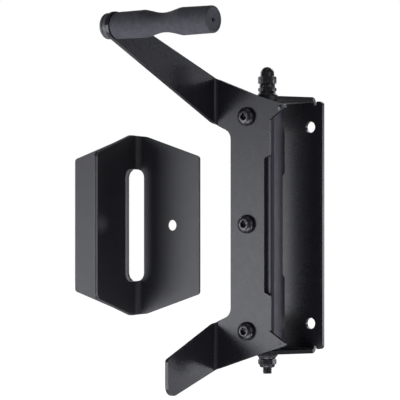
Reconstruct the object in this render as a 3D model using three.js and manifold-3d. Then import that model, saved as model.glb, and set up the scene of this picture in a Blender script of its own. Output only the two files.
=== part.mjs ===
// Wall-mounted swivelling bicycle hanger with its rear-wheel guide.
//
// A folded wall bracket carries an upright pivot rod. A folded hinge leaf turns
// on the rod, and a C-shaped arm plate is bolted to the leaf with three screws.
// The upper arm ends in a rubber-gripped peg that holds the wheel; the lower
// flap steadies it. A separate T-shaped guide is screwed to the same wall.
//
// Millimetres. X runs right along the wall, Y runs into the wall, Z is up.
// The wall is the plane y = 0 and the origin is the centre of the wall
// bracket's back face. "out" below means the distance from the wall, -y.

import * as THREE from 'three';
import * as BufferGeometryUtils from 'three/addons/utils/BufferGeometryUtils.js';
import Module from 'manifold-3d';

const wasm = await Module();
wasm.setup();

// ---------------------------------------------------------------- dimensions

const SHEET = 3;                 // hanger sheet thickness
const FOLD_RADIUS = 2;           // inside radius of the bracket and leaf folds
const GAP = 0.2;                 // clearance between touching pieces
const FOLD_STEPS = 5;            // flat steps in one 90 degree fold
const ARC_STEP = Math.PI / 10;   // largest turn between two points of an arc
const LATHE_STEPS = 20;          // flat sides round a turned piece
const CURVE_STEPS = 4;           // flat steps along a rounded crown

const ROD_OUT = 33;              // pivot axis to wall
const ROD_RADIUS = 4;
const THREAD_RADIUS = 3.9;       // threaded rod ends
const ROD_SHOULDER = 102.6;      // height where the rod steps down
const ROD_TOP = 121.5;
const ROD_BOTTOM = -118.6;

const BASE_HALF_WIDTH = 33;
const BASE_HALF_HEIGHT = 99.5;
const EAR_OUTER = 103;           // outer faces of the wall bracket's ears
const EAR_HALF_WIDTH = 25;
const EAR_END_RADIUS = 11.5;
const EAR_BORE = 4.3;
const HEX_TURN = Math.PI / 30;   // brings a nut's corner from 30 to 36 degrees off X
const RELIEF_WIDTH = 2;
const WALL_HOLE_RADIUS = 4.5;
const WALL_HOLE_X = 21.5;
const WALL_HOLE_Z = 79;

const LEAF_FRONT = 12;           // leaf front face to pivot axis
const LEAF_EAR_OUTER = 98.4;
const LEAF_EAR_HALF_WIDTH = 20;
const LEAF_EAR_END_RADIUS = 11;
const LEAF_BORE = 5.5;
const LEAF_RIGHT = 11;
const FLANGE_FACE = 13.3;        // right face of the leaf's side flange
const FLANGE_DEPTH = 17.2;
const FLANGE_HALF_HEIGHT = 91;
const FLANGE_RECESS = 3;
const LEAF_LEFT = -24;
const LEAF_TAB_TOP = 94;
const FLANGE_RECESS_HALF = 42;

const ARM_BACK = LEAF_FRONT + 0.3;   // arm plate back face to pivot axis
const ARM_FOLD_RADIUS = 3;
const ARM_FOLD_START = 37;           // fold line, left of the pivot
const PEG_OUT = 176.5;               // peg axis to wall
const PEG_Z = 151.3;
const ARM_TIP_RADIUS = 11;
const FLAP_END_OUT = 112;

const SCREW_X = -9.3;
const SCREW_HEIGHTS = { top: 86.6, middle: 0.9, bottom: -84.4 };
const SCREW_RADIUS = 4;
const SCREW_BORE = 4.3;
const NUT_FLATS = 13;

const GRIP_LENGTH = 90;
const GRIP_RADIUS = 10.2;
const PEG_ROD_RADIUS = 5;
const PEG_BORE = 3.3;
const WAIST_STEPS = 12;

const GUIDE_X = -156.8;          // middle of the guide
const GUIDE_SHEET = 2;
const GUIDE_FOLD_RADIUS = 5;
const GUIDE_HALF_WIDTH = 67;
const GUIDE_OUT = 56.6;
const GUIDE_HOLE_X = 38.4;
const GUIDE_SLOT_HALF_WIDTH = 8.5;
const GUIDE_SLOT_HALF_HEIGHT = 47.5;
const GUIDE_SLOT_OUT = 18.5;

// ------------------------------------------------------------------ materials

const finish = (color, roughness, metalness) =>
  new THREE.MeshStandardMaterial({ color, roughness, metalness });

const BLACK_COAT = finish(0x17181a, 0.4, 0.1);
const BLACK_ZINC = finish(0x101113, 0.35, 0.8);
const RUBBER = finish(0x1f1f22, 0.85, 0);
const NYLON = finish(0x0d0d0e, 0.6, 0);
const STEEL = finish(0x6f7174, 0.35, 1);

// ------------------------------------------------------- solids and geometry

function toSolid(geometry) {
  const bare = geometry.clone();
  bare.deleteAttribute('normal');
  bare.deleteAttribute('uv');
  const merged = BufferGeometryUtils.mergeVertices(bare, 1e-5);
  return new wasm.Manifold(new wasm.Mesh({
    numProp: 3,
    vertProperties: new Float32Array(merged.attributes.position.array),
    triVerts: new Uint32Array(merged.index.array),
  }));
}

function toGeometry(solid) {
  const mesh = solid.getMesh();
  const geometry = new THREE.BufferGeometry();
  geometry.setAttribute('position', new THREE.BufferAttribute(mesh.vertProperties, 3));
  geometry.setIndex(new THREE.BufferAttribute(mesh.triVerts, 1));
  return geometry;
}

// A box whose faces lie exactly on the given numbers.
function box(x0, x1, y0, y1, z0, z1) {
  const geometry = new THREE.BoxGeometry(1, 1, 1);
  const position = geometry.attributes.position;
  for (let i = 0; i < position.count; i += 1) {
    position.setXYZ(i,
      position.getX(i) < 0 ? x0 : x1,
      position.getY(i) < 0 ? y0 : y1,
      position.getZ(i) < 0 ? z0 : z1);
  }
  return toSolid(geometry);
}

const joinAll = (solids) => solids.reduce((sum, solid) => sum.add(solid));

// A closed outline through [x, y, radius] corners, each corner an arc.
function roundedOutline(corners) {
  const points = [];
  corners.forEach(([x, y, radius = 0], i) => {
    const corner = new THREE.Vector2(x, y);
    if (radius === 0) {
      points.push(corner);
      return;
    }
    const before = corners[(i + corners.length - 1) % corners.length];
    const after = corners[(i + 1) % corners.length];
    const toBefore = new THREE.Vector2(before[0] - x, before[1] - y).normalize();
    const toAfter = new THREE.Vector2(after[0] - x, after[1] - y).normalize();
    const half = Math.acos(THREE.MathUtils.clamp(toBefore.dot(toAfter), -1, 1)) / 2;
    const centre = toBefore.clone().add(toAfter).normalize()
      .multiplyScalar(radius / Math.sin(half)).add(corner);
    const start = toBefore.multiplyScalar(radius / Math.tan(half)).add(corner).sub(centre);
    const end = toAfter.multiplyScalar(radius / Math.tan(half)).add(corner).sub(centre);
    const sweep = Math.atan2(start.cross(end), start.dot(end));
    const steps = Math.max(1, Math.ceil(Math.abs(sweep) / ARC_STEP));
    for (let k = 0; k <= steps; k += 1) {
      const turned = start.clone().rotateAround(new THREE.Vector2(), (sweep * k) / steps);
      points.push(turned.add(centre));
    }
  });
  return points.filter((p, i) => p.distanceTo(points[(i + 1) % points.length]) > 1e-4);
}

function circle(x, y, radius) {
  return Array.from({ length: LATHE_STEPS }, (_, k) => {
    const angle = (2 * Math.PI * k) / LATHE_STEPS;
    return new THREE.Vector2(x + radius * Math.cos(angle), y + radius * Math.sin(angle));
  });
}

// Flat outline in XY, with holes, thickened from z = 0 to z = depth.
function flatSolid(outline, holes, depth) {
  const shape = new THREE.Shape(outline);
  shape.holes = holes.map((hole) => new THREE.Path(hole));
  return toSolid(new THREE.ExtrudeGeometry(shape, { depth, bevelEnabled: false, steps: 1 }));
}

// A solid turned round the Z axis from a closed [radius, z] profile.
const turned = (profile) => new THREE.LatheGeometry(
  [...profile, profile[0]].map(([r, z]) => new THREE.Vector2(r, z)), LATHE_STEPS,
).rotateX(Math.PI / 2);

const turnedSolid = (profile) => toSolid(turned(profile));

// Quarter-round crown of a turned piece: [radius, z] points from (radius, z) up
// to (radius - inset, z + rise).
function crown(radius, z, inset, rise) {
  return Array.from({ length: CURVE_STEPS + 1 }, (_, k) => {
    const angle = (Math.PI / 2) * (k / CURVE_STEPS);
    return [radius - inset * (1 - Math.cos(angle)), z + rise * Math.sin(angle)];
  });
}

const neutralLength = (radius, thickness) => (radius + thickness / 2) * (Math.PI / 2);

// Takes a flat blank (fold direction Y, thickness Z, outside face at z = 0) and
// rolls whatever lies past |y| = start, and within |x| < halfWidth, through 90
// degrees towards +z.
function folded(blank, { thickness, radius, start: foldLine, halfWidth = 500 }) {
  const start = Math.fround(foldLine);   // as exact as the 32-bit vertices on it
  const length = neutralLength(radius, thickness);
  const far = 500;
  const low = -1;
  const high = thickness + 1;
  const fold = ([x, y, t]) => {
    const past = Math.abs(y) - start;
    const side = Math.sign(y);
    const reach = radius + thickness - t;
    const angle = Math.min(past / length, 1) * (Math.PI / 2);
    const straight = Math.max(past - length, 0);
    return [
      x,
      side * (start + reach * Math.sin(angle)),
      radius + thickness - reach * Math.cos(angle) + straight,
    ];
  };
  const flange = box(-halfWidth, halfWidth, start, far, low, high)
    .add(box(-halfWidth, halfWidth, -far, -start, low, high));
  const pieces = [blank.subtract(flange)];
  for (const side of [1, -1]) {
    for (let k = 0; k <= FOLD_STEPS; k += 1) {
      const near = start + (length * k) / FOLD_STEPS;
      const end = k < FOLD_STEPS ? near + length / FOLD_STEPS : far;
      const [y0, y1] = side > 0 ? [near, end] : [-end, -near];
      const strip = blank.intersect(box(-halfWidth, halfWidth, y0, y1, low, high));
      if (strip.isEmpty()) continue;
      const geometry = toGeometry(strip);
      const position = geometry.attributes.position;
      for (let i = 0; i < position.count; i += 1) {
        position.setXYZ(i, ...fold([position.getX(i), position.getY(i), position.getZ(i)]));
      }
      pieces.push(toSolid(geometry));
    }
  }
  return joinAll(pieces);
}

// Half the width, at its tip, of a tapered end that starts at (x, y) from the
// centre of its end radius and runs tangent to it.
function taperTip(x, y, radius) {
  const normal = Math.atan2(x, y) - Math.acos(radius / Math.hypot(x, y));
  return radius * Math.tan(normal / 2);
}

// ------------------------------------------------------------------ placement

const object = new THREE.Group();

function addPiece(parent, name, geometry, material) {
  const mesh = new THREE.Mesh(geometry, material);
  mesh.name = name;
  parent.add(mesh);
  return mesh;
}

const pivot = new THREE.Group();     // origin on the pivot axis, half way up
pivot.position.set(0, -ROD_OUT, 0);
const peg = new THREE.Group();       // origin on the peg axis, +Z towards the grip's free end
peg.position.set(0, ROD_OUT - PEG_OUT, PEG_Z);
peg.rotation.y = Math.PI / 2;
const guide = new THREE.Group();
guide.position.set(GUIDE_X, 0, 0);
pivot.add(peg);
object.add(pivot, guide);

// Stands a blank up: its x stays X, its y becomes Z, and its thickness runs away
// from the wall.
const standUp = (solid) => toGeometry(solid).rotateX(Math.PI / 2);

// Stands a blank on its side: its x becomes Z, its y runs left, and its
// thickness runs away from the wall.
const standSideways = (solid) => toGeometry(solid).applyMatrix4(new THREE.Matrix4().makeBasis(
  new THREE.Vector3(0, 0, 1), new THREE.Vector3(-1, 0, 0), new THREE.Vector3(0, -1, 0),
));

// A mirrored geometry has its faces turned inside out; this turns them back.
function flipWinding(geometry) {
  const index = geometry.index;
  for (let i = 0; i < index.count; i += 3) {
    const first = index.getX(i);
    index.setX(i, index.getX(i + 1));
    index.setX(i + 1, first);
  }
  return geometry;
}

// --------------------------------------------------------------- wall bracket

function wallBracket() {
  const outside = SHEET + FOLD_RADIUS;
  const foldStart = EAR_OUTER - outside;
  const earStart = foldStart + neutralLength(FOLD_RADIUS, SHEET);
  const axis = earStart + ROD_OUT - outside;
  const tip = taperTip(EAR_HALF_WIDTH, earStart - axis, EAR_END_RADIUS);
  const notchEnd = EAR_HALF_WIDTH + RELIEF_WIDTH;
  const notchFloor = foldStart - 1.5;
  const quarter = [
    [BASE_HALF_WIDTH, BASE_HALF_HEIGHT, 3],
    [notchEnd, BASE_HALF_HEIGHT, 1],
    [notchEnd, notchFloor, 0.9],
    [EAR_HALF_WIDTH, notchFloor, 0.9],
    [EAR_HALF_WIDTH, earStart, 1],
    [tip, axis + EAR_END_RADIUS, EAR_END_RADIUS],
  ];
  const upper = [...quarter, ...quarter.map(([x, y, r]) => [-x, y, r]).reverse()];
  const lower = upper.map(([x, y, r]) => [x, -y, r]).reverse();
  const holes = [];
  for (const side of [1, -1]) {
    holes.push(circle(0, side * axis, EAR_BORE));
    for (const x of [WALL_HOLE_X, -WALL_HOLE_X]) {
      holes.push(circle(x, side * WALL_HOLE_Z, WALL_HOLE_RADIUS));
    }
  }
  const blank = flatSolid(roundedOutline([...upper, ...lower]), holes, SHEET);
  const solid = folded(blank, {
    thickness: SHEET, radius: FOLD_RADIUS, start: foldStart, halfWidth: EAR_HALF_WIDTH + 0.5,
  });
  return standUp(solid);
}

addPiece(object, 'wall_bracket', wallBracket(), BLACK_COAT);

// ----------------------------------------------------- pivot rod and its nuts

function hexNut(flats, bore, bottom, top, chamfer) {
  const corner = flats / Math.sqrt(3);
  const prism = toSolid(new THREE.CylinderGeometry(corner, corner, top - bottom, 6)
    .rotateX(Math.PI / 2).translate(0, 0, (bottom + top) / 2));
  const inset = corner - chamfer;
  const rise = chamfer * 0.6;
  const envelope = turnedSolid([
    [bore, bottom], [inset, bottom], [corner + 0.01, bottom + rise],
    [corner + 0.01, top - rise], [inset, top], [bore, top],
  ]);
  return prism.intersect(envelope);
}

function pivotRod() {
  const bevel = 0.8;
  return turned([
    [0, ROD_BOTTOM], [THREAD_RADIUS - bevel, ROD_BOTTOM], [THREAD_RADIUS, ROD_BOTTOM + bevel],
    [THREAD_RADIUS, -ROD_SHOULDER], [ROD_RADIUS, -ROD_SHOULDER], [ROD_RADIUS, ROD_SHOULDER],
    [THREAD_RADIUS, ROD_SHOULDER], [THREAD_RADIUS, ROD_TOP - bevel],
    [THREAD_RADIUS - bevel, ROD_TOP], [0, ROD_TOP],
  ]);
}

const NUT_BORE = THREAD_RADIUS + 0.2;
const CONE_HEIGHT = 3.4;
const JAM_HEIGHT = 3.2;
const COLLAR_HEIGHT = 2.6;
const CAP_HEX_HEIGHT = 6;
const LOCK_HEX_HEIGHT = 4.4;
const LOCK_COLLAR_HEIGHT = 2.4;

// Cone washer standing on the plane z = 0, wide side down.
function coneWasher() {
  return turned([
    [NUT_BORE, 0], [8.4, 0], [8.5, 0.8], [7.1, 2.2], [6.6, CONE_HEIGHT], [NUT_BORE, CONE_HEIGHT],
  ]);
}

function capNut(bottom) {
  const shoulder = bottom + CAP_HEX_HEIGHT;
  const dome = 5.6;
  const domeCurve = crown(dome, shoulder + 2.2, dome, 5.4);
  domeCurve[CURVE_STEPS][0] = 0;
  const hat = turnedSolid([[0, shoulder - 1], [dome, shoulder - 1], ...domeCurve]);
  const bore = turnedSolid([
    [0, bottom - 1], [NUT_BORE, bottom - 1], [NUT_BORE, ROD_TOP + 0.4], [0, ROD_TOP + 1.2],
  ]);
  return hexNut(NUT_FLATS, 1, bottom, shoulder, 0.7).add(hat).subtract(bore);
}

const coneTop = EAR_OUTER + GAP + CONE_HEIGHT;
const jamTop = coneTop + GAP + JAM_HEIGHT;
const collarTop = jamTop + GAP + COLLAR_HEIGHT;
const lockTop = -coneTop - GAP;
const lockShoulder = lockTop - LOCK_HEX_HEIGHT;
const lockBottom = lockShoulder - LOCK_COLLAR_HEIGHT;

addPiece(pivot, 'pivot_rod', pivotRod(), BLACK_ZINC);
addPiece(pivot, 'upper_cone_washer', coneWasher().translate(0, 0, EAR_OUTER + GAP), BLACK_ZINC);
addPiece(pivot, 'lower_cone_washer',
  coneWasher().rotateX(Math.PI).translate(0, 0, -EAR_OUTER - GAP), BLACK_ZINC);

addPiece(pivot, 'jam_nut',
  toGeometry(hexNut(NUT_FLATS, NUT_BORE, coneTop + GAP, jamTop, 0.7)).rotateZ(HEX_TURN), BLACK_ZINC);
addPiece(pivot, 'cap_collar', turned([
  [NUT_BORE, jamTop + GAP], [6.1, jamTop + GAP], [6.4, jamTop + 0.8],
  [6.4, collarTop - 0.6], [6.1, collarTop], [NUT_BORE, collarTop],
]), BLACK_ZINC);
addPiece(pivot, 'cap_nut', toGeometry(capNut(collarTop + GAP)).rotateZ(HEX_TURN), BLACK_ZINC);

// Hexagon nut whose round collar is crimped over a nylon ring.
function lockNut() {
  const collar = turnedSolid([
    [0, lockShoulder + 1], [0, lockBottom],
    ...crown(6.3, lockBottom + 1.4, 1.2, -1.4).reverse(), [6.3, lockShoulder + 1],
  ]);
  const hole = turnedSolid([
    [0, lockBottom - 1], [4.5, lockBottom - 1], [4.5, lockBottom + 0.4], [5.2, lockBottom + 0.4],
    [5.2, lockBottom + 2], [NUT_BORE, lockBottom + 2], [NUT_BORE, lockTop + 1], [0, lockTop + 1],
  ]);
  return toGeometry(hexNut(NUT_FLATS, 1, lockShoulder, lockTop, 0.9).add(collar).subtract(hole));
}

addPiece(pivot, 'lock_nut', lockNut().rotateZ(HEX_TURN), BLACK_ZINC);
addPiece(pivot, 'lock_nut_insert', turned([
  [NUT_BORE, lockBottom + 0.6], [5, lockBottom + 0.6],
  [5, lockBottom + 1.8], [NUT_BORE, lockBottom + 1.8],
]), NYLON);

// ------------------------------------------------------ hinge leaf and bushes

function hingeLeaf() {
  const outside = SHEET + FOLD_RADIUS;
  const foldStart = LEAF_EAR_OUTER - outside;
  const earStart = foldStart + neutralLength(FOLD_RADIUS, SHEET);
  const axis = earStart + LEAF_FRONT - outside;
  const tip = taperTip(LEAF_EAR_HALF_WIDTH, earStart - axis, LEAF_EAR_END_RADIUS);
  const notchEnd = -LEAF_EAR_HALF_WIDTH - RELIEF_WIDTH;
  const upper = [
    [LEAF_RIGHT, axis + LEAF_EAR_END_RADIUS, LEAF_EAR_END_RADIUS],
    [-tip, axis + LEAF_EAR_END_RADIUS, LEAF_EAR_END_RADIUS],
    [-LEAF_EAR_HALF_WIDTH, earStart, 1],
    [-LEAF_EAR_HALF_WIDTH, foldStart - 2, 0.9],
    [notchEnd, foldStart - 2, 0.9],
    [notchEnd, LEAF_TAB_TOP, 0.8],
    [LEAF_LEFT, LEAF_TAB_TOP, 1],
  ];
  const lower = upper.map(([x, y, r]) => [x, -y, r]).reverse();
  const holes = Object.values(SCREW_HEIGHTS).map((z) => circle(SCREW_X, z, SCREW_BORE));
  for (const side of [1, -1]) holes.push(circle(0, side * axis, LEAF_BORE));
  const blank = flatSolid(roundedOutline([...upper, ...lower]), holes, SHEET);
  const solid = folded(blank, {
    thickness: SHEET, radius: FOLD_RADIUS, start: foldStart, halfWidth: LEAF_EAR_HALF_WIDTH + 0.5,
  });
  const web = toSolid(flipWinding(standUp(solid).scale(1, -1, 1)));
  return toGeometry(web.add(sideFlange())).translate(0, -LEAF_FRONT, 0);
}

// The leaf's right side, turned back towards the wall past the rod, with a
// shallow recess along its back edge. y = 0 is the leaf's front face.
function sideFlange() {
  const inside = FLANGE_FACE - SHEET;
  const root = inside - 1.5;
  const section = roundedOutline([
    [root, 0], [FLANGE_FACE, 0, 2.4], [FLANGE_FACE, FLANGE_DEPTH],
    [inside, FLANGE_DEPTH], [inside, SHEET, 0.5], [root, SHEET],
  ]);
  const whole = flatSolid(section, [], 2 * FLANGE_HALF_HEIGHT).translate([0, 0, -FLANGE_HALF_HEIGHT]);
  const past = 1;
  const floor = FLANGE_DEPTH - FLANGE_RECESS;
  const floorHalf = FLANGE_RECESS_HALF - FLANGE_RECESS;
  const recess = toGeometry(flatSolid(roundedOutline([
    [-FLANGE_RECESS_HALF - past, FLANGE_DEPTH + past], [-floorHalf, floor, 1.5],
    [floorHalf, floor, 1.5], [FLANGE_RECESS_HALF + past, FLANGE_DEPTH + past],
  ]), [], SHEET + 2 * past));
  recess.applyMatrix4(new THREE.Matrix4().makeBasis(
    new THREE.Vector3(0, 0, 1), new THREE.Vector3(0, 1, 0), new THREE.Vector3(-1, 0, 0),
  ));
  return whole.subtract(toSolid(recess.translate(FLANGE_FACE + past, 0, 0)));
}

// Flanged nylon bush pressed into a leaf ear from outside.
function flangedBush() {
  const inside = ROD_RADIUS + 0.25;
  const flangeBottom = LEAF_EAR_OUTER + GAP;
  const tubeBottom = LEAF_EAR_OUTER - SHEET - 0.4;
  return turned([
    [inside, tubeBottom], [LEAF_BORE - GAP, tubeBottom], [LEAF_BORE - GAP, flangeBottom],
    [8, flangeBottom], [8, flangeBottom + 1.1], [inside, flangeBottom + 1.1],
  ]);
}

addPiece(pivot, 'hinge_leaf', hingeLeaf(), BLACK_COAT);
addPiece(pivot, 'upper_bush', flangedBush(), NYLON);
addPiece(pivot, 'lower_bush', flangedBush().rotateX(Math.PI), NYLON);

// ------------------------------------------------------------------ arm plate

// The arm blank is drawn with y running left from the pivot and x up; past the
// fold y keeps growing with the distance from the wall.
const armUnrolled = (out) => ARM_FOLD_START + neutralLength(ARM_FOLD_RADIUS, SHEET)
  + out - (ROD_OUT + ARM_BACK + SHEET + ARM_FOLD_RADIUS);

function armPlate() {
  const tipLine = armUnrolled(PEG_OUT);
  const flapEnd = armUnrolled(FLAP_END_OUT);
  const edge = (y, y0, z0, slope) => z0 + slope * (y - y0);
  const outerTop = (y) => edge(y, 44, 119.6, 0.343);
  const innerTop = (y) => edge(y, 46.9, 84.1, 0.449);
  const outerBottom = (y) => -edge(y, 44, 117.6, 0.318);
  const innerBottom = (y) => -edge(y, 51, 82.7, 0.423);

  // The tip's two corners round off to nearly one arc about the peg.
  const endLine = tipLine + ARM_TIP_RADIUS;
  const tipCorner = ARM_TIP_RADIUS - 0.5;
  const corners = [
    [outerTop(endLine), endLine, tipCorner],
    [innerTop(endLine), endLine, tipCorner],
    [innerTop(25.2), 25.2, 8],
    [innerBottom(25.2), 25.2, 8],
    [innerBottom(flapEnd), flapEnd, 3],
    [outerBottom(flapEnd), flapEnd, 8],
    [outerBottom(44), 44, 20],
    [-103.2, 0, 30],
    ...lobe(-1),
    ...lobe(1).reverse(),
    [103.2, 0, 30],
    [outerTop(44), 44, 20],
  ];
  const holes = Object.values(SCREW_HEIGHTS).map((z) => circle(z, -SCREW_X, SCREW_BORE));
  holes.push(roundedOutline([
    [89.6, -20.2, 0.4], [93.6, -20.6, 0.4], [95.2, -22.8, 0.4], [93.3, -25.1, 0.4],
  ]));
  holes.push(roundedOutline([[-90.6, -20.9, 0.5], [-94.6, -20.9, 0.5], [-93.6, -23.9, 0.5]]));
  holes.push(circle(PEG_Z, tipLine, PEG_BORE + 0.1));
  const blank = flatSolid(roundedOutline(corners), holes, SHEET);
  const solid = folded(blank, { thickness: SHEET, radius: ARM_FOLD_RADIUS, start: ARM_FOLD_START });
  return standSideways(solid).translate(0, -ARM_BACK, 0);
}

// Right-hand edge of the plate, from its middle recess out to a corner lobe.
function lobe(side) {
  return [
    [side * 94.9, -26.8, 1],
    [side * 92.8, -26.8, 1],
    [side * 83.9, -12.2, 1.5],
    [side * 55.5, -12.2, 0.8],
    [side * 53.3, -7.3, 0.8],
  ];
}

addPiece(pivot, 'arm_plate', armPlate(), BLACK_COAT);

// ------------------------------------------------------------ screws and nuts

// Button-head screw along +Z, head on top, underside of the head at z = 0.
function buttonScrew(shank) {
  const headRadius = 7.5;
  const headHeight = 4.9;
  const rim = 0.9;
  const body = turnedSolid([
    [0, -shank], [SCREW_RADIUS - 0.6, -shank], [SCREW_RADIUS, -shank + 0.6], [SCREW_RADIUS, 0],
    [headRadius, 0], ...crown(headRadius, rim, 3.9, headHeight - rim), [0, headHeight],
  ]);
  const socket = toSolid(new THREE.CylinderGeometry(2.9, 2.9, 6, 6)
    .rotateX(Math.PI / 2).rotateZ(0.4).translate(0, 0, headHeight + 0.2));
  return toGeometry(body.subtract(socket));
}

const armFront = ARM_BACK + SHEET;
const nutFront = LEAF_FRONT - SHEET - GAP;
const THIN_NUT = 4;
for (const [place, z] of Object.entries(SCREW_HEIGHTS)) {
  const screw = addPiece(pivot, `screw_${place}`, buttonScrew(10), BLACK_ZINC);
  screw.rotation.x = Math.PI / 2;
  screw.position.set(SCREW_X, -armFront - GAP, z);
  const nut = addPiece(pivot, `nut_${place}`,
    toGeometry(hexNut(NUT_FLATS, SCREW_BORE, 0, THIN_NUT, 0.8)), BLACK_ZINC);
  nut.rotation.x = Math.PI / 2;
  nut.position.set(SCREW_X, -nutFront + THIN_NUT, z);
}

// --------------------------------------------------------------- peg and grip

const armFace = -ARM_FOLD_START - ARM_FOLD_RADIUS;   // right face of the upper arm
const gripStart = armFace + GAP;
const gripEnd = gripStart + GRIP_LENGTH;

// Rubber sleeve: two slight bulges with a waist between, closed at its free
// end but for a small vent.
function gripSleeve() {
  const bulge = 10.5;
  const waist = 7.4;
  const waistStart = gripStart + 27;
  const waistEnd = gripStart + 63;
  const outer = [[gripStart, GRIP_RADIUS - 0.3], [gripStart + 0.8, GRIP_RADIUS]];
  for (let k = 0; k <= WAIST_STEPS; k += 1) {
    const along = k / WAIST_STEPS;
    const dip = Math.sin(Math.PI * along) ** 1.4;
    outer.push([THREE.MathUtils.lerp(waistStart, waistEnd, along), bulge - (bulge - waist) * dip]);
  }
  outer.push([gripEnd - 1.4, GRIP_RADIUS], [gripEnd - 0.4, GRIP_RADIUS - 0.5],
    [gripEnd, GRIP_RADIUS - 1.5]);
  const bore = PEG_ROD_RADIUS + GAP;
  const vent = 1.3;
  const floor = gripEnd - 3;
  const profile = [
    ...outer.map(([along, r]) => [r, along]),
    [vent, gripEnd], [vent, floor], [bore, floor], [bore, gripStart],
  ];
  return turned(profile);
}

const pegRodEnd = gripEnd - 3 - GAP;
const pegTap = 22;

function pegRod() {
  return turned([
    [PEG_BORE, gripStart], [PEG_ROD_RADIUS, gripStart], [PEG_ROD_RADIUS, pegRodEnd - 0.8],
    [PEG_ROD_RADIUS - 0.8, pegRodEnd], [0, pegRodEnd], [0, gripStart + pegTap],
    [PEG_BORE, gripStart + pegTap - 1],
  ]);
}

const washerLeft = armFace - SHEET - GAP;
const WASHER = 1.2;

function pegScrew() {
  const head = washerLeft - WASHER - GAP;
  const solid = turnedSolid([
    [0, head - 3], [4.6, head - 3], [5, head - 2.6], [5, head], [3, head],
    [3, gripStart + pegTap - 3], [2.4, gripStart + pegTap - 2], [0, gripStart + pegTap - 2],
  ]);
  const socket = toSolid(new THREE.CylinderGeometry(2.3, 2.3, 3, 6)
    .rotateX(Math.PI / 2).translate(0, 0, head - 3));
  return toGeometry(solid.subtract(socket));
}

// Round cap over the peg screw's head, open towards the arm.
function pegCap() {
  const outer = 10;
  const start = washerLeft;
  const end = start - 8.2;
  const rounding = 2.6;
  return turned([
    [7.6, start], [7.6, start - 6], [0, start - 6], [0, end - 0.5],
    ...crown(outer, end + rounding, rounding, -rounding).reverse(), [outer, start],
  ]);
}

addPiece(peg, 'grip_sleeve', gripSleeve(), RUBBER);
addPiece(peg, 'peg_rod', pegRod(), STEEL);
addPiece(peg, 'peg_washer', turned([
  [3.3, washerLeft - WASHER], [6.8, washerLeft - WASHER], [6.8, washerLeft], [3.3, washerLeft],
]), BLACK_ZINC);
addPiece(peg, 'peg_screw', pegScrew(), BLACK_ZINC);
addPiece(peg, 'peg_cap', pegCap(), NYLON);

// ---------------------------------------------------------- rear-wheel guide

// One angle of the guide. The blank's y runs from the outer end of the wall
// flange towards the wing; the two angles stand back to back.
function guideAngle() {
  const outside = GUIDE_SHEET + GUIDE_FOLD_RADIUS;
  const start = GUIDE_HALF_WIDTH - GAP / 2 - outside;
  const wing = (out) => start + neutralLength(GUIDE_FOLD_RADIUS, GUIDE_SHEET) + out - outside;
  const upper = [
    [57.4, 0, 3], [75.3, start - 4, 8], [76.8, wing(9), 8], [60.9, wing(GUIDE_OUT), 5],
  ];
  const outline = [...upper, ...upper.map(([x, y, r]) => [-x, y, r]).reverse()];
  const slotStart = GUIDE_HALF_WIDTH - GUIDE_SLOT_HALF_WIDTH;
  const slot = roundedOutline([
    [GUIDE_SLOT_HALF_HEIGHT, slotStart, 7], [GUIDE_SLOT_HALF_HEIGHT, wing(GUIDE_SLOT_OUT), 7],
    [-GUIDE_SLOT_HALF_HEIGHT, wing(GUIDE_SLOT_OUT), 7], [-GUIDE_SLOT_HALF_HEIGHT, slotStart, 7],
  ]);
  const holes = [slot, circle(0, GUIDE_HALF_WIDTH - GUIDE_HOLE_X, WALL_HOLE_RADIUS)];
  const blank = flatSolid(roundedOutline(outline), holes, GUIDE_SHEET);
  const solid = folded(blank, { thickness: GUIDE_SHEET, radius: GUIDE_FOLD_RADIUS, start });
  return standSideways(solid).translate(GUIDE_HALF_WIDTH, 0, 0);
}

// Weld bead in the groove behind the two folds, above or below the slot.
function weldBead() {
  const section = [[3.4, 0.7], [1.8, 2], [0.6, 3.5], [-0.6, 3.5], [-1.8, 2], [-3.4, 0.7]]
    .map(([x, out]) => new THREE.Vector2(x, -out));
  return new THREE.ExtrudeGeometry(new THREE.Shape(section), { depth: 22, bevelEnabled: false });
}

addPiece(guide, 'guide_right_angle', guideAngle(), BLACK_COAT);
addPiece(guide, 'guide_left_angle', flipWinding(guideAngle().scale(-1, 1, 1)), BLACK_COAT);
addPiece(guide, 'guide_upper_weld', weldBead().translate(0, 0, 51), BLACK_COAT);
addPiece(guide, 'guide_lower_weld', weldBead().translate(0, 0, -73), BLACK_COAT);

export default object;
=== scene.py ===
"""Looks for the swivelling wall-mounted bicycle hanger and its T-shaped wheel guide.

The folded sheet parts are the CAD nodes, given rounded edges and a powder-coat
material. Everything turned, threaded, moulded or welded is rebuilt here in finer
mesh, placed from the CAD boxes, apart from the screw hidden in the peg's cap.
Profiles are in millimetres.
"""

import math

import bmesh
import bpy
from mathutils import Matrix, Vector, noise


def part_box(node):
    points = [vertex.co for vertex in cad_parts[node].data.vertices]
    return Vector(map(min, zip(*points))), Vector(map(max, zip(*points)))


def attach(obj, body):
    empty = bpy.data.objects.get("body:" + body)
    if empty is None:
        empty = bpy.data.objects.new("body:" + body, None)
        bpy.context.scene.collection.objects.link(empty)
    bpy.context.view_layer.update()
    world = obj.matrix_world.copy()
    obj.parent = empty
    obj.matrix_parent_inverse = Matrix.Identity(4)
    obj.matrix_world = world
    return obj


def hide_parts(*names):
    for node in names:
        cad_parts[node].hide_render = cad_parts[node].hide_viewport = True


MM = 0.001
TAU = 2 * math.pi
ROUND_STEPS = 72          # sides of a rebuilt turned piece
POLE_RADIUS = 1e-6        # a ring smaller than this is a single point
MERGE_DISTANCE = 0.002    # mm, between points that count as one
SHARP_ANGLE = math.radians(35)
WALL_BODY = "wall_parts"
ARM_BODY = "swing_arm"

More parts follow.
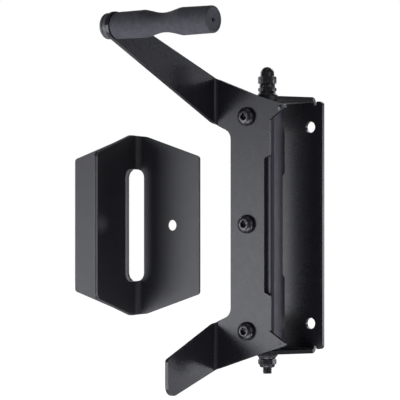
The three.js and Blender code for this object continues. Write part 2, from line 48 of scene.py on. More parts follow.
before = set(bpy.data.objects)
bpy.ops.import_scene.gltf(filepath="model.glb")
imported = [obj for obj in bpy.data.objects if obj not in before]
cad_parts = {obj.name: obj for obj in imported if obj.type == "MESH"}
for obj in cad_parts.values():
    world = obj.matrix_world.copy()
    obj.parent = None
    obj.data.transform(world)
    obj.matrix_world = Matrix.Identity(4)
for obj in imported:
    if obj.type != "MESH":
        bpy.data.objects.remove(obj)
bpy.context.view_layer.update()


# ------------------------------------------------------------------ materials

class Material:
    """A Principled material with short calls for the nodes used here."""

    def __init__(self, name, roughness, metallic=0.0, specular=0.5):
        self.material = bpy.data.materials.new(name)
        self.material.use_nodes = True
        self.tree = self.material.node_tree
        self.shader = self.tree.nodes["Principled BSDF"]
        self.shader.inputs["Roughness"].default_value = roughness
        self.shader.inputs["Metallic"].default_value = metallic
        self.shader.inputs["Specular IOR Level"].default_value = specular
        self.coordinates = self.node("ShaderNodeTexCoord").outputs["Object"]

    def node(self, kind, **values):
        made = self.tree.nodes.new(kind)
        for key, value in values.items():
            setattr(made, key, value)
        return made

    def link(self, output, socket):
        self.tree.links.new(output, socket)

    def noise(self, size_mm, detail=2.0, roughness=0.5, stretch=None):
        """Noise with features of about size_mm, as a 0 to 1 value."""
        texture = self.node("ShaderNodeTexNoise")
        texture.inputs["Scale"].default_value = 1 / (size_mm * MM)
        texture.inputs["Detail"].default_value = detail
        texture.inputs["Roughness"].default_value = roughness
        source = self.coordinates
        if stretch:
            mapping = self.node("ShaderNodeMapping")
            mapping.inputs["Scale"].default_value = stretch
            self.link(source, mapping.inputs["Vector"])
            source = mapping.outputs["Vector"]
        self.link(source, texture.inputs["Vector"])
        return texture.outputs["Fac"]

    def ramp(self, value, low, high, dark, light):
        """Maps value from low..high to a blend of two colours."""
        ramp = self.node("ShaderNodeValToRGB")
        ramp.color_ramp.elements[0].position = low
        ramp.color_ramp.elements[1].position = high
        ramp.color_ramp.elements[0].color = (*dark, 1)
        ramp.color_ramp.elements[1].color = (*light, 1)
        self.link(value, ramp.inputs["Fac"])
        return ramp.outputs["Color"]

    def remap(self, value, low, high):
        """Maps a noise value's useful middle to low..high."""
        mapped = self.node("ShaderNodeMapRange")
        mapped.inputs["From Min"].default_value = 0.3
        mapped.inputs["From Max"].default_value = 0.7
        mapped.inputs["To Min"].default_value = low
        mapped.inputs["To Max"].default_value = high
        self.link(value, mapped.inputs["Value"])
        return mapped.outputs["Result"]

    def edge_mask(self, radius_mm, low, high):
        """1 near convex and concave edges, 0 on flats."""
        bevel = self.node("ShaderNodeBevel", samples=4)
        bevel.inputs["Radius"].default_value = radius_mm * MM
        geometry = self.node("ShaderNodeNewGeometry")
        dot = self.node("ShaderNodeVectorMath", operation="DOT_PRODUCT")
        self.link(bevel.outputs["Normal"], dot.inputs[0])
        self.link(geometry.outputs["Normal"], dot.inputs[1])
        mapped = self.node("ShaderNodeMapRange")
        mapped.inputs["From Min"].default_value = high
        mapped.inputs["From Max"].default_value = low
        self.link(dot.outputs["Value"], mapped.inputs["Value"])
        return mapped.outputs["Result"]

    def mix(self, fac, a, b):
        mixer = self.node("ShaderNodeMix", data_type="RGBA")
        self.link(fac, mixer.inputs["Factor"])
        self.link(a, mixer.inputs["A"])
        if isinstance(b, tuple):
            mixer.inputs["B"].default_value = (*b, 1)
        else:
            self.link(b, mixer.inputs["B"])
        return mixer.outputs["Result"]

    def bump(self, *layers):
        """Stacks (height value, depth in mm, strength) layers into the normal."""
        normal = None
        for height, depth_mm, strength in layers:
            bump = self.node("ShaderNodeBump")
            bump.inputs["Distance"].default_value = depth_mm * MM
            bump.inputs["Strength"].default_value = strength
            self.link(height, bump.inputs["Height"])
            if normal:
                self.link(normal, bump.inputs["Normal"])
            normal = bump.outputs["Normal"]
        self.link(normal, self.shader.inputs["Normal"])

    def colour(self, output):
        self.link(output, self.shader.inputs["Base Color"])

    def roughness(self, output):
        self.link(output, self.shader.inputs["Roughness"])


def powder_coat(name, roughness, specular=0.5):
    """Semi-gloss black powder coat: fine orange peel; greyer on edges, partly a thinner coat and
    partly a painted highlight on the cut edges.
    """
    coat = Material(name, roughness=roughness, specular=specular)
    patches = coat.ramp(coat.noise(14), 0.35, 0.65, (0.011, 0.011, 0.014), (0.013, 0.013, 0.0165))
    specks = coat.noise(0.35, detail=1)
    speckled = coat.mix(coat.remap(specks, 0, 0.3), patches, (0.02, 0.02, 0.024))
    # Edges lightened: partly wear of a thinner coat, partly a painted highlight on the cut edges.
    wear_and_painted_edge_highlight = coat.mix(coat.edge_mask(0.5, 0.9, 0.995), speckled, (0.05, 0.05, 0.056))
    coat.colour(wear_and_painted_edge_highlight)
    coat.roughness(coat.remap(coat.noise(6, detail=3), roughness - 0.015, roughness + 0.015))
    coat.bump((coat.noise(1.3), 0.006, 0.2), (specks, 0.002, 0.1))
    return coat.material


def leaf_coat():
    """The hinge leaf's coat: rougher and faintly purple, with upright rolling streaks."""
    coat = Material("leaf_powder_coat", roughness=0.38)
    coat.shader.inputs["Specular Tint"].default_value = (0.92, 0.9, 1.0, 1)
    coat.shader.inputs["Specular IOR Level"].default_value = 0.85
    streaks = coat.noise(1.1, detail=3, stretch=(1, 1, 0.04))
    patches = coat.ramp(streaks, 0.35, 0.65, (0.0125, 0.0105, 0.0165), (0.0175, 0.015, 0.0225))
    specks = coat.noise(0.35, detail=1)
    speckled = coat.mix(coat.remap(specks, 0, 0.3), patches, (0.024, 0.021, 0.029))
    # Edges lightened: partly wear, partly a painted highlight on the cut edges.
    wear_and_painted_edge_highlight = coat.mix(coat.edge_mask(0.5, 0.9, 0.995), speckled, (0.035, 0.033, 0.04))
    coat.colour(wear_and_painted_edge_highlight)
    coat.roughness(coat.remap(coat.noise(5, detail=3), 0.35, 0.41))
    coat.bump((coat.noise(1.3), 0.025, 0.5), (streaks, 0.01, 0.4))
    return coat.material


def zinc():
    """Black zinc plate: satin metal with faint turning marks."""
    plate = Material("black_zinc", roughness=0.28, metallic=0.85)
    clouds = plate.ramp(plate.noise(2.5, detail=3), 0.35, 0.65,
                        (0.045, 0.045, 0.049), (0.075, 0.074, 0.08))
    # Edges lightened: partly worn plating, partly a painted highlight on rims and chamfers.
    wear_and_painted_edge_highlight = plate.mix(plate.edge_mask(0.3, 0.85, 0.99), clouds, (0.2, 0.2, 0.21))
    plate.colour(wear_and_painted_edge_highlight)
    marks = plate.noise(0.8, detail=3, stretch=(1, 1, 6))
    plate.roughness(plate.remap(plate.noise(1.2), 0.22, 0.34))
    plate.bump((marks, 0.01, 0.4))
    return plate.material


def turned_steel():
    """Plain turned steel under the grip."""
    steel = Material("turned_steel", roughness=0.35, metallic=1.0)
    steel.colour(steel.ramp(steel.noise(3, detail=3), 0.3, 0.7,
                            (0.32, 0.32, 0.34), (0.45, 0.45, 0.47)))
    steel.bump((steel.noise(0.5, detail=2, stretch=(8, 1, 1)), 0.01, 0.5))
    return steel.material


def rubber():
    """Matt moulded rubber with a dusty bloom and a fine pebble."""
    skin = Material("grip_rubber", roughness=0.7, specular=0.4)
    bloom = skin.ramp(skin.noise(5, detail=4, roughness=0.65), 0.35, 0.7,
                      (0.042, 0.042, 0.052), (0.072, 0.072, 0.086))
    grain = skin.noise(0.45, detail=2)
    dusty = skin.mix(skin.remap(grain, 0, 0.4), bloom, (0.1, 0.1, 0.116))
    skin.colour(dusty)
    skin.roughness(skin.remap(skin.noise(2.2), 0.62, 0.78))
    skin.bump((skin.noise(1.6, detail=3), 0.08, 0.4), (grain, 0.03, 0.5))
    return skin.material


def cap_plastic():
    """Moulded plastic of the peg's cap, glossier than the grip."""
    plastic = Material("cap_plastic", roughness=0.42, specular=0.6)
    plastic.colour(plastic.ramp(plastic.noise(3, detail=3), 0.35, 0.65,
                                (0.07, 0.071, 0.078), (0.095, 0.096, 0.105)))
    plastic.roughness(plastic.remap(plastic.noise(1.5), 0.38, 0.46))
    plastic.bump((plastic.noise(0.5), 0.015, 0.4))
    return plastic.material


def nylon():
    """Matt moulded nylon."""
    plastic = Material("black_nylon", roughness=0.55, specular=0.45)
    plastic.colour(plastic.ramp(plastic.noise(3, detail=3), 0.35, 0.65,
                                (0.015, 0.015, 0.018), (0.025, 0.025, 0.029)))
    plastic.roughness(plastic.remap(plastic.noise(1.5), 0.5, 0.6))
    plastic.bump((plastic.noise(0.4), 0.02, 0.5))
    return plastic.material


FINISHES = {
    "black_coat": powder_coat("black_powder_coat", 0.28),
    "guide_coat": powder_coat("guide_powder_coat", 0.4, specular=0.68),
    "leaf_coat": leaf_coat(),
    "black_zinc": zinc(),
    "rod_steel": turned_steel(),
    "rubber": rubber(),
    "nylon": nylon(),
    "cap_plastic": cap_plastic(),
}


# ---------------------------------------------------------------- mesh making

def add_piece(name, mesh, slot_name, body, replaced, finish=None):
    """Adds a piece riding on body in place of the CAD node replaced."""
    piece = bpy.data.objects.new(name, mesh)
    bpy.context.scene.collection.objects.link(piece)
    mesh.materials.append(FINISHES[finish or slot_name])
    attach(piece, body)
    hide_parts(replaced)


def mesh_from_rings(name, rings, place, closed):
    """Skins rings of points; a ring of one point is a pole. closed joins last to first."""
    bm = bmesh.new()
    rows = [[bm.verts.new((place @ Vector(p)) * MM) for p in ring] for ring in rings]
    pairs = list(zip(rows, rows[1:]))
    if closed:
        pairs.append((rows[-1], rows[0]))
    for low, high in pairs:
        count = max(len(low), len(high))
        for k in range(count):
            after = (k + 1) % count
            corners = [
                low[k % len(low)], low[after % len(low)],
                high[after % len(high)], high[k % len(high)],
            ]
            unique = list(dict.fromkeys(corners))
            if len(unique) > 2:
                bm.faces.new(unique)
    bmesh.ops.remove_doubles(bm, verts=bm.verts, dist=MERGE_DISTANCE * MM)
    bmesh.ops.recalc_face_normals(bm, faces=bm.faces)
    for face in bm.faces:
        face.smooth = True
    mesh = bpy.data.meshes.new(name)
    bm.to_mesh(mesh)
    bm.free()
    mesh.set_sharp_from_angle(angle=SHARP_ANGLE)
    return mesh


def filleted(points, closed=False, steps=4):
    """Rounds the corners of a profile of (x, z) or (x, z, radius) points."""
    out = []
    last = len(points) - 1
    for i, point in enumerate(points):
        corner = Vector(point[:2])
        radius = point[2] if len(point) > 2 else 0
        if radius == 0 or (not closed and i in (0, last)):
            out.append(tuple(corner))
            continue
        before = Vector(points[i - 1][:2]) - corner
        after = Vector(points[(i + 1) % len(points)][:2]) - corner
        half = before.angle(after) / 2
        reach = radius / math.tan(half)
        inward = (before.normalized() + after.normalized()).normalized()
        centre = corner + inward * (radius / math.sin(half))
        start = corner + before.normalized() * reach - centre
        end = corner + after.normalized() * reach - centre
        for k in range(steps + 1):
            arm = start.lerp(end, k / steps).normalized() * radius
            out.append(tuple(centre + arm))
    return out


def ring(radius, z, steps=ROUND_STEPS):
    if radius < POLE_RADIUS:
        return [(0, 0, z)]
    angles = [TAU * k / steps for k in range(steps)]
    return [(radius * math.cos(a), radius * math.sin(a), z) for a in angles]


def turned(name, profile, place, slot_name, body, closed=False, finish=None):
    """A piece turned round its local Z axis from a (radius, z) profile."""
    rings = [ring(r, z) for r, z in profile]
    mesh = mesh_from_rings(name, rings, place, closed)
    add_piece(name + "_fine", mesh, slot_name, body, name, finish)


def hexagon_angles():
    """Angles round a hexagon with corners at multiples of 60 degrees, closer at the corners."""
    near_corner = (0, 1.1, 2.1, 3.05)
    along_flat = (6, 10, 14, 18, 22, 26)
    half = near_corner + along_flat
    sextant = [*half, 30, *(60 - a for a in reversed(half[1:]))]
    return [math.radians(60 * side + a) for side in range(6) for a in sextant]


HEX_ANGLES = hexagon_angles()


def hexagon_radius(angle, flats, corner_round=0.8):
    """Distance from the centre to a hexagon with slightly rounded corners."""
    off = (math.degrees(angle) + 30) % 60 - 30
    flat = flats / 2 / math.cos(math.radians(30 - abs(off)))
    centre = flats / math.sqrt(3) - corner_round / math.sin(math.radians(60))
    across = centre * math.sin(math.radians(off))
    if abs(across) >= corner_round:
        return flat
    along = centre * math.cos(math.radians(off))
    return min(flat, along + math.sqrt(corner_round ** 2 - across ** 2))


def hex_ring(radius_at, z_at, turn=0.0):
    """A ring whose radius and height are functions of the angle, then turned."""
    return [
        (radius_at(a) * math.cos(a + turn), radius_at(a) * math.sin(a + turn), z_at(a))
        for a in HEX_ANGLES
    ]


def plain_ring(radius, z, turn=0.0):
    """A round ring with a hexagon ring's points, so that the two can be skinned."""
    if radius < POLE_RADIUS:
        return [(0, 0, z)]
    return hex_ring(lambda a: radius, lambda a: z, turn)


def nut_rings(flats, bore, bottom, top, chamfer, turn=0.0, crown=None):
    """Rings of a chamfered hexagon nut. crown replaces the upper face's rings, as (radius, z)."""
    inset = flats / math.sqrt(3) - chamfer
    slope = 0.6           # chamfer height over its width
    lead = 0.5            # countersink of the bore
    soft = 0.15           # width of the rounding inside the face's rim

    def hexagon(a):
        return hexagon_radius(a, flats)

    def face(a):
        return min(inset, hexagon(a))

    def rise(a):
        return max(0.0, hexagon(a) - inset) * slope

    rings = [
        plain_ring(bore, bottom + lead, turn),
        plain_ring(bore + lead, bottom, turn),
        hex_ring(lambda a: face(a) - soft, lambda a: bottom, turn),
        hex_ring(face, lambda a: bottom + 0.05, turn),
        hex_ring(hexagon, lambda a: bottom + 0.1 + rise(a), turn),
        hex_ring(hexagon, lambda a: top - 0.1 - rise(a), turn),
        hex_ring(face, lambda a: top - 0.05, turn),
        hex_ring(lambda a: face(a) - soft, lambda a: top, turn),
    ]
    if crown:
        rings += [plain_ring(r, z, turn) for r, z in crown]
    else:
        rings += [plain_ring(bore + lead, top, turn), plain_ring(bore, top - lead, turn)]
    return rings


def hex_piece(name, rings, place, slot_name, body, closed=True):
    """A piece skinned from hexagon and round rings."""
    mesh = mesh_from_rings(name, rings, place, closed)
    add_piece(name + "_fine", mesh, slot_name, body, name)


# ------------------------------------------------------------------ placements

def box_mm(node):
    """A CAD node's lowest and highest corners, in millimetres."""
    low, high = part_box(node)
    return low / MM, high / MM


def on_pivot():
    """Local Z along the pivot rod, with z = 0 at world z = 0."""
    low, high = box_mm("pivot_rod")
    return Matrix.Translation(((low.x + high.x) / 2, (low.y + high.y) / 2, 0))


def along_peg():
    """Local Z along the peg, with z = 0 at world x = 0."""
    low, high = box_mm("grip_sleeve")
    centre = Matrix.Translation((0, (low.y + high.y) / 2, (low.z + high.z) / 2))
    return centre @ Matrix.Rotation(math.pi / 2, 4, "Y")


def out_of_wall(node):
    """Local +Z away from the wall, with z = 0 at world y = 0."""
    low, high = box_mm(node)
    centre = Matrix.Translation(((low.x + high.x) / 2, 0, (low.z + high.z) / 2))
    return centre @ Matrix.Rotation(math.pi / 2, 4, "X")


PIVOT = on_pivot()
PEG = along_peg()
THREAD_RADIUS = 3.9
THREAD_DEPTH = 0.7
THREAD_PITCH = 1.25
THREAD_STEPS = 48             # points in one turn of thread
ROD_SHOULDER = 102.6          # height where the rod steps down to its thread
NUT_BORE = THREAD_RADIUS + 0.15
NUT_FLATS = 13
NUT_CHAMFER = 0.8
NUT_TURN = math.radians(36)   # where the pivot nuts' corners point
BACK_NUT_BORE = 4.15
BACK_NUT_TURN = math.radians(30)
CAP_HEX_HEIGHT = 6
CAP_DOME_RADIUS = 5.6
LOCK_HEX_HEIGHT = 4.4


# --------------------------------------------------------------- pivot and nuts

def thread_rings(bottom, top):
    """Rings of a screw thread with coned ends."""
    rows_per_turn = 10
    flank_slope = 1.3
    crest = 0.12          # leaves a narrow flat crest
    end_radius = THREAD_RADIUS - 0.75
    end_slope = 1.1
    rings = []
    rows = int((top - bottom) / THREAD_PITCH * rows_per_turn)
    for row in range(rows + 1):
        z = bottom + (top - bottom) * row / rows
        points = []
        for k in range(THREAD_STEPS):
            turn = k / THREAD_STEPS
            phase = (z / THREAD_PITCH - turn) % 1
            flank = min(1.0, max(0.0, abs(2 * phase - 1) * flank_slope - crest))
            r = THREAD_RADIUS - THREAD_DEPTH * flank
            r = min(r, end_radius + (z - bottom) * end_slope, end_radius + (top - z) * end_slope)
            points.append((r * math.cos(TAU * turn), r * math.sin(TAU * turn), z))
        rings.append(points)
    return rings


def make_pivot_rod():
    """The pivot rod, with a thread at each end."""
    low, high = box_mm("pivot_rod")
    shank = (high.x - low.x) / 2
    root = THREAD_RADIUS - THREAD_DEPTH
    rings = [ring(0, low.z)]
    rings += thread_rings(low.z, -ROD_SHOULDER)
    for r, z in filleted([(root, -ROD_SHOULDER), (shank, -ROD_SHOULDER, 0.4),
                          (shank, ROD_SHOULDER, 0.4), (root, ROD_SHOULDER)]):
        rings.append(ring(r, z, THREAD_STEPS))
    rings += thread_rings(ROD_SHOULDER, high.z)
    rings.append(ring(0, high.z))
    mesh = mesh_from_rings("pivot_rod", rings, PIVOT, False)
    add_piece("pivot_rod_fine", mesh, "black_zinc", WALL_BODY, "pivot_rod")


def cone_profile(foot, tip):
    """Cone washer profile from its wide foot to its narrow tip, either way up."""
    up = 1 if tip > foot else -1
    return filleted([
        (NUT_BORE, foot), (8.4, foot, 0.3), (8.5, foot + 0.8 * up, 0.3),
        (7.1, foot + 2.2 * up, 0.8), (6.6, tip, 0.25), (NUT_BORE, tip),
    ])


def make_pivot_stack():
    """The washers at both ears, and the nuts and collar above the upper one."""
    low, high = box_mm("upper_cone_washer")
    turned("upper_cone_washer", cone_profile(low.z, high.z), PIVOT, "black_zinc", WALL_BODY,
           closed=True)
    low, high = box_mm("lower_cone_washer")
    turned("lower_cone_washer", cone_profile(high.z, low.z), PIVOT, "black_zinc", WALL_BODY,
           closed=True)

    low, high = box_mm("jam_nut")
    jam_nut = nut_rings(NUT_FLATS, NUT_BORE, low.z, high.z, NUT_CHAMFER, NUT_TURN)
    hex_piece("jam_nut", jam_nut, PIVOT, "black_zinc", WALL_BODY)

    low, high = box_mm("cap_collar")
    collar = filleted([
        (NUT_BORE, low.z), (6.4, low.z, 0.4), (6.4, high.z, 0.5), (NUT_BORE, high.z),
    ])
    turned("cap_collar", collar, PIVOT, "black_zinc", WALL_BODY, closed=True)

    low, high = box_mm("cap_nut")
    shoulder = low.z + CAP_HEX_HEIGHT
    dome = CAP_DOME_RADIUS
    spring = shoulder + 2.2   # where the dome starts to curve
    curve = 14
    crown = filleted([(6.0, shoulder), (dome, shoulder, 0.3), (dome, spring)])
    for k in range(1, curve + 1):
        angle = k / curve * math.pi / 2
        crown.append((dome * math.cos(angle), spring + (high.z - spring) * math.sin(angle)))
    crown[-1] = (0, high.z)
    rings = [plain_ring(0, high.z - 3.4), plain_ring(NUT_BORE, high.z - 4.2)]
    rings += nut_rings(NUT_FLATS, NUT_BORE, low.z, shoulder, NUT_CHAMFER, NUT_TURN, crown)
    hex_piece("cap_nut", rings, PIVOT, "black_zinc", WALL_BODY, closed=False)


def make_lock_nut():
    """Hexagon nut with a round collar crimped over the nylon ring in its lower end."""
    low, high = box_mm("lock_nut")
    shoulder = high.z - LOCK_HEX_HEIGHT
    collar = filleted([
        (NUT_BORE, low.z + 2), (5.2, low.z + 2), (5.2, low.z + 0.4, 0.1),
        (4.5, low.z + 0.4, 0.1), (4.5, low.z, 0.15), (5.4, low.z, 0.6),
        (6.3, low.z + 1.5, 0.8), (6.3, shoulder, 0.2), (6.45, shoulder),
    ])
    hexagon = nut_rings(NUT_FLATS, NUT_BORE, shoulder, high.z, 0.9, NUT_TURN)
    lower_face = 3            # rings of the hexagon that the collar takes the place of
    rings = [plain_ring(r, z, NUT_TURN) for r, z in collar]
    hex_piece("lock_nut", rings + hexagon[lower_face:], PIVOT, "black_zinc", WALL_BODY)
    low, high = box_mm("lock_nut_insert")
    insert = filleted([(NUT_BORE - 0.1, low.z, 0.3), (5, low.z, 0.2), (5, high.z, 0.2),
                       (NUT_BORE - 0.1, high.z, 0.2)], closed=True)
    turned("lock_nut_insert", insert, PIVOT, "nylon", WALL_BODY, closed=True)


def make_bushes():
    """Flanged bushes, pressed into the leaf's ears from outside."""
    bore, sleeve, rim = 4.25, 5.3, 8
    for node, side in (("upper_bush", 1), ("lower_bush", -1)):
        low, high = box_mm(node)
        inner, outer = sorted((abs(low.z), abs(high.z)))
        flange = outer - 1.1
        profile = filleted([
            (bore, inner, 0.3), (sleeve, inner, 0.3), (sleeve, flange), (rim, flange, 0.3),
            (rim, outer, 0.4), (bore, outer, 0.3),
        ], closed=True)
        turned(node, [(r, side * z) for r, z in profile], PIVOT, "nylon", ARM_BODY, closed=True)


# -------------------------------------------------------------- screws and nuts

SCREW_RADIUS = 4
HEAD_HEIGHT = 4.9
HEAD_RIM = 0.9            # height of the straight rim under the dome
HEAD_FLAT = 3.6           # radius of the flat round the socket
SOCKET_FLATS = 5.0
SOCKET_TURN = 0.4 + math.radians(30)


def make_screw(node):
    """Button-head screw with a hexagon socket."""
    low, high = box_mm(node)
    place = out_of_wall(node)
    tip, top = -high.y, -low.y
    seat = top - HEAD_HEIGHT
    rim = seat + HEAD_RIM
    head = (high.x - low.x) / 2
    rings = [plain_ring(0, tip)]
    for r, z in filleted([
        (SCREW_RADIUS - 0.8, tip), (SCREW_RADIUS, tip + 0.8, 0.2), (SCREW_RADIUS, seat, 0.3),
        (head, seat, 0.25), (head, rim, 0.3),
    ]):
        rings.append(plain_ring(r, z))
    curve = 12
    for k in range(1, curve + 1):
        angle = k / curve * math.pi / 2
        across = HEAD_FLAT + (head - HEAD_FLAT) * math.cos(angle)
        rings.append(plain_ring(across, rim + (top - rim) * math.sin(angle)))
    for widen, z in ((0.35, top), (0.1, top - 0.2), (0.0, top - 0.5), (0.0, top - 2.8)):
        rings.append(hex_ring(
            lambda a, w=widen: hexagon_radius(a, SOCKET_FLATS, 0.3) + w,
            lambda a, h=z: h, SOCKET_TURN,
        ))
    rings.append(plain_ring(1.2, top - 3.3, SOCKET_TURN))
    rings.append(plain_ring(0, top - 3.5))
    hex_piece(node, rings, place, "black_zinc", ARM_BODY, closed=False)


def make_back_nut(node):
    """Nut on a screw, behind the leaf."""
    low, high = box_mm(node)
    rings = nut_rings(NUT_FLATS, BACK_NUT_BORE, -high.y, -low.y, NUT_CHAMFER, BACK_NUT_TURN)
    hex_piece(node, rings, out_of_wall(node), "black_zinc", ARM_BODY)


# ---------------------------------------------------------------- peg and grip

def lumpy(name, profile, place, slot_name, body, depth, size):
    """A turned piece whose surface is slightly uneven, like moulded rubber."""
    smooth_radius = 3         # points nearer the axis than this stay even
    rings = []
    for r, z in profile:
        points = []
        for x, y, _ in ring(r, z):
            swell = 1
            if r > smooth_radius:
                swell += depth / r * noise.noise(Vector((x, y, z)) / size)
            points.append((x * swell, y * swell, z))
        rings.append(points)
    mesh = mesh_from_rings(name, rings, place, True)
    add_piece(name + "_fine", mesh, slot_name, body, name)


def make_grip():
    """Grip sleeve with a smooth waist and a small hole through its end wall."""
    low, high = box_mm("grip_sleeve")
    start, end = low.x, high.x
    radius, bulge, waist = 10.2, 10.5, 7.4
    bore = 5.2
    end_wall = 3
    hole = 1.3
    waist_start, waist_end = start + 27, start + 63
    outer = filleted([(bore, start), (radius, start, 0.7), (bulge, waist_start - 1)])
    body = outer[:-1]
    straight = 14
    for k in range(1, straight):
        t = k / straight
        body.append((radius + (bulge - radius) * t, start + 1 + (waist_start - start - 1) * t))
    curve = 44
    for k in range(curve + 1):
        t = k / curve
        dip = math.sin(math.pi * t) ** 1.4
        body.append((bulge - (bulge - waist) * dip, waist_start + (waist_end - waist_start) * t))
    for k in range(1, straight):
        t = k / straight
        body.append((bulge + (radius - bulge) * t, waist_end + (end - 1.6 - waist_end) * t))
    body += filleted([
        (radius, end - 1.6), (radius, end - 0.05, 1.1), (8.2, end, 0.3), (7.9, end - 0.35, 0.3),
        (1.9, end - 0.35, 0.3), (hole, end - 1.2, 0.2), (hole, end - end_wall),
    ])
    body += [(bore, end - end_wall)]
    lumpy("grip_sleeve", body, PEG, "rubber", ARM_BODY, depth=0.09, size=2.6)


PEG_BORE = 3.3
PEG_ROD_RADIUS = 5
PEG_HOLE_DEPTH = 21
PEG_WASHER_RADIUS = 6.8
CAP_BORE = 7.6


def make_peg_hardware():
    """The peg's tapped rod, its washer and its cap."""
    low, high = box_mm("peg_rod")
    rod = filleted([
        (PEG_BORE, low.x), (PEG_ROD_RADIUS, low.x, 0.3), (PEG_ROD_RADIUS, high.x - 0.8, 0.4),
        (PEG_ROD_RADIUS - 0.8, high.x, 0.3), (0, high.x),
    ])
    hollow = [(0, low.x + PEG_HOLE_DEPTH + 1), (PEG_BORE, low.x + PEG_HOLE_DEPTH)]
    turned("peg_rod", rod + hollow, PEG, "rod_steel", ARM_BODY, closed=True)

    low, high = box_mm("peg_washer")
    washer = filleted([
        (PEG_BORE, low.x, 0.15), (PEG_WASHER_RADIUS, low.x, 0.3),
        (PEG_WASHER_RADIUS, high.x, 0.15), (PEG_BORE, high.x, 0.15),
    ], closed=True)
    turned("peg_washer", washer, PEG, "black_zinc", ARM_BODY, closed=True)

    low, high = box_mm("peg_cap")
    open_end, crown_end = high.x, low.x
    depth = 6
    cap = filleted([
        (CAP_BORE, open_end), (CAP_BORE, open_end - depth, 0.5), (0, open_end - depth),
    ])
    cap += filleted([
        (0, crown_end), (7.6, crown_end + 0.35, 6), (10, crown_end + 3, 2.2),
        (10, open_end - 4.3, 0.2), (9.4, open_end - 4.1, 0.15), (9.4, open_end - 3.6, 0.15),
        (9.9, open_end - 3.3, 0.2), (9.9, open_end - 1, 0.2), (9.5, open_end - 0.7, 0.1),
        (9.5, open_end), (CAP_BORE, open_end),
    ], steps=5)
    turned("peg_cap", cap, PEG, "nylon", ARM_BODY, closed=True, finish="cap_plastic")


# ------------------------------------------------------------------ weld beads

def make_weld(node):
    """A rippled bead lying in the groove behind the guide's two folds."""
    low, high = box_mm(node)
    middle = (low.x + high.x) / 2
    out = 2.1                 # from the wall to the bead's middle
    half_width, half_depth = 3.3, 1.35
    ripple_step, ripple_depth = 1.7, 0.12
    unevenness = 0.05
    bluntness = 8             # higher keeps the bead full for more of its length
    tip = 0.02                # share of the full size left at the very ends
    rows, across = 66, 14
    rings = []
    for row in range(rows + 1):
        t = row / rows
        z = low.z + (high.z - low.z) * t
        taper = min(1.0, math.sqrt(max(0.0, 1 - abs(2 * t - 1) ** bluntness)) + tip)
        ripple = 1 - ripple_depth * ((z / ripple_step) % 1) ** 2
        points = []
        for k in range(across):
            angle = TAU * k / across
            width = half_width * taper * ripple
            depth = half_depth * taper * ripple
            place = Vector((math.cos(angle), math.sin(angle), z / 2))
            wobble = 1 + unevenness * noise.noise(place)
            points.append((middle + width * math.cos(angle) * wobble,
                           -out + depth * math.sin(angle) * wobble, z))
        rings.append(points)
    rings = [[(middle, -out, low.z)], *rings, [(middle, -out, high.z)]]
    mesh = mesh_from_rings(node, rings, Matrix.Identity(4), False)
    add_piece(node + "_fine", mesh, "black_coat", WALL_BODY, node)


# ------------------------------------------------------------ folded sheet parts

def round_edges(node, width_mm, finish):
    """Gives a CAD sheet part soft cut edges by modifiers; its own points stay in place."""
    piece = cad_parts[node]
    weld = piece.modifiers.new("weld", "WELD")
    weld.merge_threshold = 0.005 * MM
    flat = piece.modifiers.new("flatten", "DECIMATE")
    flat.decimate_type = "DISSOLVE"
    flat.angle_limit = math.radians(0.5)
    bevel = piece.modifiers.new("bevel", "BEVEL")
    bevel.width = width_mm * MM
    bevel.segments = 3
    bevel.limit_method = "ANGLE"
    bevel.angle_limit = math.radians(40)
    bevel.use_clamp_overlap = True
    bevel.miter_outer = "MITER_ARC"
    normals = piece.modifiers.new("normals", "WEIGHTED_NORMAL")
    normals.keep_sharp = False
    normals.weight = 80
    for polygon in piece.data.polygons:
        polygon.use_smooth = True
    piece.data.materials.clear()
    piece.data.materials.append(FINISHES[finish])


# ----------------------------------------------------------------------- stage

WORLD_TINT = (0.9, 0.92, 1.0)
WORLD_STRENGTH = 0.14
FLOOR_Z = -1.4
FLOOR_REACH = 40          # metres from its middle to each side
FLOOR_GREY = 0.88
FLOOR_GLOW = 0.1
FLOOR_GLOW_TO_CAMERA = 0.95
CAMERA_PLACE = (0.991, -1.4886, 0)
CAMERA_AZIMUTH = math.radians(36)
CAMERA_LENS = 198
CAMERA_SHIFT = 0.0632     # how far the frame is raised, as a share of its width
COOL = (0.93, 0.94, 1.0)
WHITE = (1, 1, 1)
ORIGIN = (0, 0, 0)

# name, place, target, width, height, watts, colour
LIGHTS = (
    ("key_left", (-1.36, -1.825, -0.9), (0, 0, -0.2), 1.27, 2.2, 38, COOL),
    ("low_front", (0.25, -0.7, -0.9), (0, -0.05, 0), 0.9, 0.6, 6, COOL),
    ("low_right", (1.25, 0.15, -1.0), ORIGIN, 0.5, 0.5, 6.5, COOL),
    ("back_right", (0.98, 1.95, -0.06), ORIGIN, 0.75, 0.44, 5.6, COOL),
    ("top_back", (-0.1, 1.5, 1.1), ORIGIN, 1.2, 0.7, 7, WHITE),
    ("top_soft", (0.2, -0.6, 1.8), ORIGIN, 0.8, 0.8, 1, WHITE),
    ("side_left", (-2.0, 0.5, 0.5), ORIGIN, 1.6, 1.6, 18, WHITE),
    ("side_right", (2.2, -0.6, 0.6), ORIGIN, 1.4, 1.4, 5, WHITE),
    ("behind", (-1.0, 2.2, 0.05), ORIGIN, 1.6, 1.4, 15, WHITE),
)


def area_light(name, place, target, width, height, power, colour):
    data = bpy.data.lights.new(name, "AREA")
    data.shape = "RECTANGLE"
    data.size = width
    data.size_y = height
    data.energy = power
    data.color = colour
    light = bpy.data.objects.new(name, data)
    bpy.context.scene.collection.objects.link(light)
    light.location = place
    light.rotation_mode = "QUATERNION"
    light.rotation_quaternion = (Vector(target) - Vector(place)).to_track_quat("-Z", "Y")


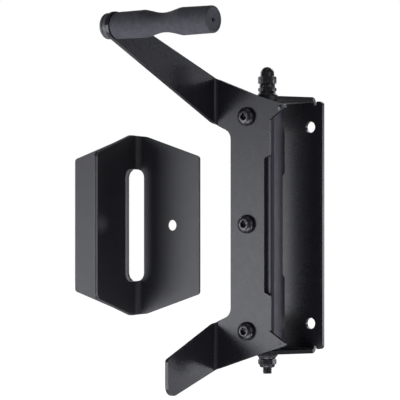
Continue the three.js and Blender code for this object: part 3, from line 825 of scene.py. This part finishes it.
def make_world():
    """White to the camera, dim grey to everything the object reflects."""
    world = bpy.data.worlds.new("studio")
    bpy.context.scene.world = world
    world.use_nodes = True
    tree = world.node_tree
    tree.nodes.clear()
    output = tree.nodes.new("ShaderNodeOutputWorld")
    mixer = tree.nodes.new("ShaderNodeMixShader")
    path = tree.nodes.new("ShaderNodeLightPath")
    dim = tree.nodes.new("ShaderNodeBackground")
    dim.inputs["Color"].default_value = (*WORLD_TINT, 1)
    dim.inputs["Strength"].default_value = WORLD_STRENGTH
    white = tree.nodes.new("ShaderNodeBackground")
    white.inputs["Color"].default_value = (1, 1, 1, 1)
    white.inputs["Strength"].default_value = 1.0
    tree.links.new(path.outputs["Is Camera Ray"], mixer.inputs["Fac"])
    tree.links.new(dim.outputs["Background"], mixer.inputs[1])
    tree.links.new(white.outputs["Background"], mixer.inputs[2])
    tree.links.new(mixer.outputs["Shader"], output.inputs["Surface"])


def make_floor():
    """A pale floor well below the object, bright enough to the camera to show no horizon."""
    bm = bmesh.new()
    bmesh.ops.create_grid(bm, x_segments=1, y_segments=1, size=FLOOR_REACH)
    mesh = bpy.data.meshes.new("floor")
    bm.to_mesh(mesh)
    bm.free()
    floor = bpy.data.objects.new("floor", mesh)
    bpy.context.scene.collection.objects.link(floor)
    floor.location.z = FLOOR_Z
    pale = bpy.data.materials.new("pale_floor")
    pale.use_nodes = True
    shader = pale.node_tree.nodes["Principled BSDF"]
    shader.inputs["Base Color"].default_value = (FLOOR_GREY, FLOOR_GREY, FLOOR_GREY, 1)
    shader.inputs["Emission Color"].default_value = (*WHITE, 1)
    path = pale.node_tree.nodes.new("ShaderNodeLightPath")
    glow = pale.node_tree.nodes.new("ShaderNodeMapRange")
    glow.inputs["To Min"].default_value = FLOOR_GLOW
    glow.inputs["To Max"].default_value = FLOOR_GLOW_TO_CAMERA
    pale.node_tree.links.new(path.outputs["Is Camera Ray"], glow.inputs["Value"])
    pale.node_tree.links.new(glow.outputs["Result"], shader.inputs["Emission Strength"])
    shader.inputs["Roughness"].default_value = 0.9
    mesh.materials.append(pale)


def make_camera():
    """Level camera 36 degrees to the right of straight on, its frame raised by lens shift."""
    data = bpy.data.cameras.new("camera")
    data.sensor_width = 36
    data.lens = CAMERA_LENS
    data.shift_y = CAMERA_SHIFT
    camera = bpy.data.objects.new("camera", data)
    bpy.context.scene.collection.objects.link(camera)
    aim = Vector((-math.sin(CAMERA_AZIMUTH), math.cos(CAMERA_AZIMUTH), 0))
    camera.location = CAMERA_PLACE
    camera.rotation_mode = "QUATERNION"
    camera.rotation_quaternion = aim.to_track_quat("-Z", "Y")
    bpy.context.scene.camera = camera


# -------------------------------------------------------------------- assembly

# CAD sheet part: width of its rounded edges in mm, and its finish
SHEET_PARTS = {
    "wall_bracket": (0.6, "black_coat"),
    "hinge_leaf": (0.5, "leaf_coat"),
    "arm_plate": (0.6, "black_coat"),
    "guide_right_angle": (0.5, "guide_coat"),
    "guide_left_angle": (0.5, "guide_coat"),
}

make_camera()
make_world()
make_floor()
for light in LIGHTS:
    area_light(*light)
for sheet_node, (edge_width, sheet_finish) in SHEET_PARTS.items():
    round_edges(sheet_node, edge_width, sheet_finish)
make_pivot_rod()
make_pivot_stack()
make_lock_nut()
make_bushes()
for height in ("top", "middle", "bottom"):
    make_screw("screw_" + height)
    make_back_nut("nut_" + height)
make_grip()
make_peg_hardware()
make_weld("guide_upper_weld")
make_weld("guide_lower_weld")

peg_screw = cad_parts["peg_screw"]
peg_screw.data.materials.clear()
peg_screw.data.materials.append(FINISHES["black_zinc"])

bpy.context.scene.view_settings.view_transform = "Standard"
bpy.context.scene.view_settings.look = "None"
